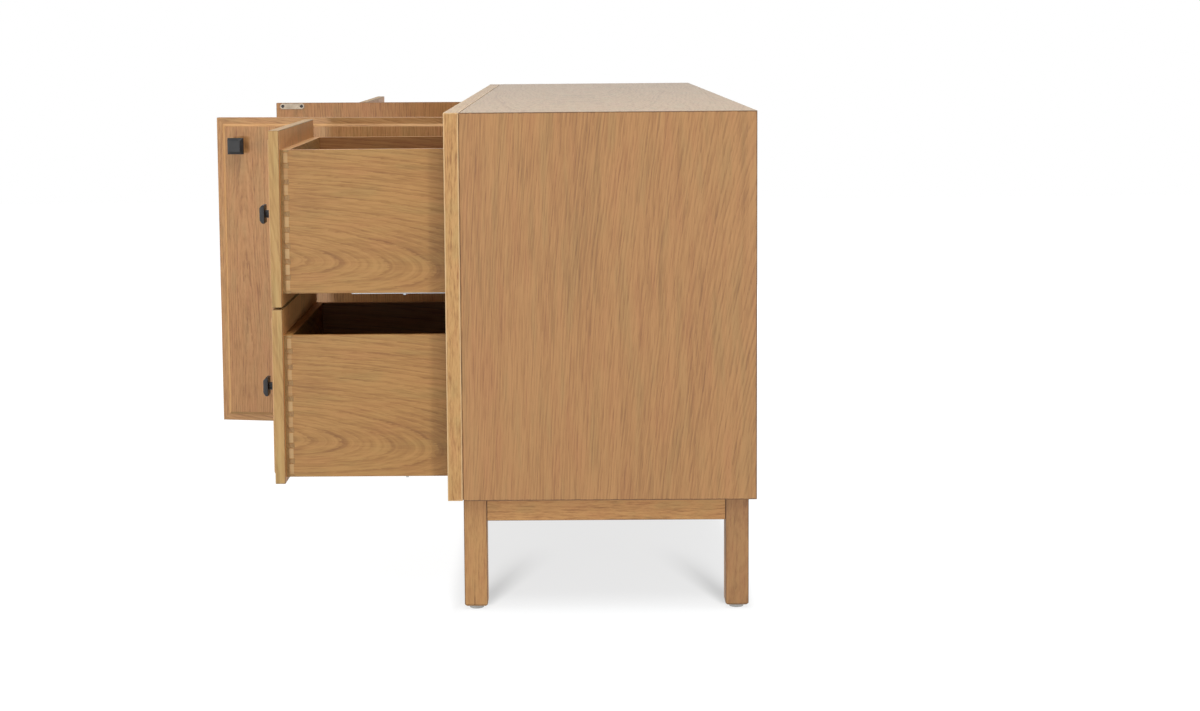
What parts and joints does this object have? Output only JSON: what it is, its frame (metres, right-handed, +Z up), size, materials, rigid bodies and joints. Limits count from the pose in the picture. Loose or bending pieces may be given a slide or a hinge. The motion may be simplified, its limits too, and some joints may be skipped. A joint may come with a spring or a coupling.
{
  "type": "sideboard",
  "caption": "Low oak sideboard on square legs, with doors over a shelved cupboard in the middle and dovetailed drawers on runners at both ends, drawn open.",
  "frame": {"origin": "on the floor, under the middle of the box around the piece with its doors and drawers open as stored", "axes": "+X along the case to its right-hand end, seen from the front; +Y from the front to the back; +Z up"},
  "size_m": [1.829, 0.8888, 0.742],
  "materials": {
    "case_oak": "satin lacquered oak veneer",
    "lipping_oak": "satin lacquered solid oak",
    "front_oak": "satin lacquered oak",
    "drawer_oak": "satin lacquered solid oak",
    "inside_oak": "satin lacquered oak veneer",
    "base_oak": "satin lacquered solid oak",
    "knob_black": "fine matt black",
    "nickel": "satin nickel plate",
    "screw_steel": "dull zinc plate",
    "runner_zinc": "bright zinc plate",
    "glide_grey": "matt",
    "catch_brown": "matt"
  },
  "bodies": {
    "carcass": {"top_panel": "case_oak", "bottom_panel": "case_oak", "right_end_panel": "case_oak", "left_end_panel": "case_oak", "top_lipping": "lipping_oak", "bottom_lipping": "lipping_oak", "right_lipping": "lipping_oak", "left_lipping": "lipping_oak", "back_panel": "case_oak", "right_partition": "inside_oak", "left_partition": "inside_oak", "shelf": "inside_oak", "shelf_pins": "nickel", "magnetic_catches": "catch_brown", "front_right_leg": "base_oak", "front_left_leg": "base_oak", "back_right_leg": "base_oak", "back_left_leg": "base_oak", "glides": "glide_grey", "side_rails": "base_oak", "long_rails": "base_oak", "fixing_blocks": "inside_oak", "case_slides": "runner_zinc", "hinge_frame_leaves": "nickel"},
    "right_upper_drawer": {"right_upper_drawer_front": "front_oak", "right_upper_drawer_knobs": "knob_black", "right_upper_drawer_box_sides": "drawer_oak", "right_upper_drawer_box_ends": "drawer_oak", "right_upper_drawer_box_bottom": "inside_oak", "right_upper_drawer_slides": "runner_zinc"},
    "right_upper_drawer_middle": {"right_upper_drawer_middle_slides": "runner_zinc"},
    "right_lower_drawer": {"right_lower_drawer_front": "front_oak", "right_lower_drawer_knobs": "knob_black", "right_lower_drawer_box_sides": "drawer_oak", "right_lower_drawer_box_ends": "drawer_oak", "right_lower_drawer_box_bottom": "inside_oak", "right_lower_drawer_slides": "runner_zinc"},
    "right_lower_drawer_middle": {"right_lower_drawer_middle_slides": "runner_zinc"},
    "right_door": {"right_door_panel": "front_oak", "right_door_knob": "knob_black", "right_door_hinge_leaves": "nickel", "right_door_strike_plate": "nickel", "right_door_strike_screws": "screw_steel"},
    "left_upper_drawer": {"left_upper_drawer_front": "front_oak", "left_upper_drawer_knobs": "knob_black", "left_upper_drawer_box_sides": "drawer_oak", "left_upper_drawer_box_ends": "drawer_oak", "left_upper_drawer_box_bottom": "inside_oak", "left_upper_drawer_slides": "runner_zinc"},
    "left_upper_drawer_middle": {"left_upper_drawer_middle_slides": "runner_zinc"},
    "left_lower_drawer": {"left_lower_drawer_front": "front_oak", "left_lower_drawer_knobs": "knob_black", "left_lower_drawer_box_sides": "drawer_oak", "left_lower_drawer_box_ends": "drawer_oak", "left_lower_drawer_box_bottom": "inside_oak", "left_lower_drawer_slides": "runner_zinc"},
    "left_lower_drawer_middle": {"left_lower_drawer_middle_slides": "runner_zinc"},
    "left_door": {"left_door_panel": "front_oak", "left_door_knob": "knob_black", "left_door_hinge_leaves": "nickel", "left_door_strike_plate": "nickel", "left_door_strike_screws": "screw_steel"}
  },
  "joints": [
    {"name": "right_upper_drawer_slide", "type": "slide", "parent": "carcass", "child": "right_upper_drawer", "axis": [0, -1, 0], "range_m": [-0.262, 0.088]},
    {"name": "right_upper_drawer_middle_slide", "type": "slide", "parent": "carcass", "child": "right_upper_drawer_middle", "axis": [0, -1, 0], "range_m": [-0.1748, 0.0588]},
    {"name": "right_lower_drawer_slide", "type": "slide", "parent": "carcass", "child": "right_lower_drawer", "axis": [0, -1, 0], "range_m": [-0.262, 0.088]},
    {"name": "right_lower_drawer_middle_slide", "type": "slide", "parent": "carcass", "child": "right_lower_drawer_middle", "axis": [0, -1, 0], "range_m": [-0.1748, 0.0588]},
    {"name": "right_door_hinge", "type": "hinge", "parent": "carcass", "child": "right_door", "pos_m": [0.43, -0.0158, 0.4535], "axis": [0, 0, 1], "range_deg": [-80, 15.5]},
    {"name": "left_upper_drawer_slide", "type": "slide", "parent": "carcass", "child": "left_upper_drawer", "axis": [0, -1, 0], "range_m": [-0.262, 0.088]},
    {"name": "left_upper_drawer_middle_slide", "type": "slide", "parent": "carcass", "child": "left_upper_drawer_middle", "axis": [0, -1, 0], "range_m": [-0.1748, 0.0588]},
    {"name": "left_lower_drawer_slide", "type": "slide", "parent": "carcass", "child": "left_lower_drawer", "axis": [0, -1, 0], "range_m": [-0.262, 0.088]},
    {"name": "left_lower_drawer_middle_slide", "type": "slide", "parent": "carcass", "child": "left_lower_drawer_middle", "axis": [0, -1, 0], "range_m": [-0.1748, 0.0588]},
    {"name": "left_door_hinge", "type": "hinge", "parent": "carcass", "child": "left_door", "pos_m": [-0.43, -0.0158, 0.4535], "axis": [0, 0, -1], "range_deg": [-95.5, 0]}
  ],
  "couplings": [
    {"joint": "right_upper_drawer_middle_slide", "follows": "right_upper_drawer_slide", "ratio": 0.6667},
    {"joint": "right_lower_drawer_middle_slide", "follows": "right_lower_drawer_slide", "ratio": 0.6667},
    {"joint": "left_upper_drawer_middle_slide", "follows": "left_upper_drawer_slide", "ratio": 0.6667},
    {"joint": "left_lower_drawer_middle_slide", "follows": "left_lower_drawer_slide", "ratio": 0.6667}
  ]
}
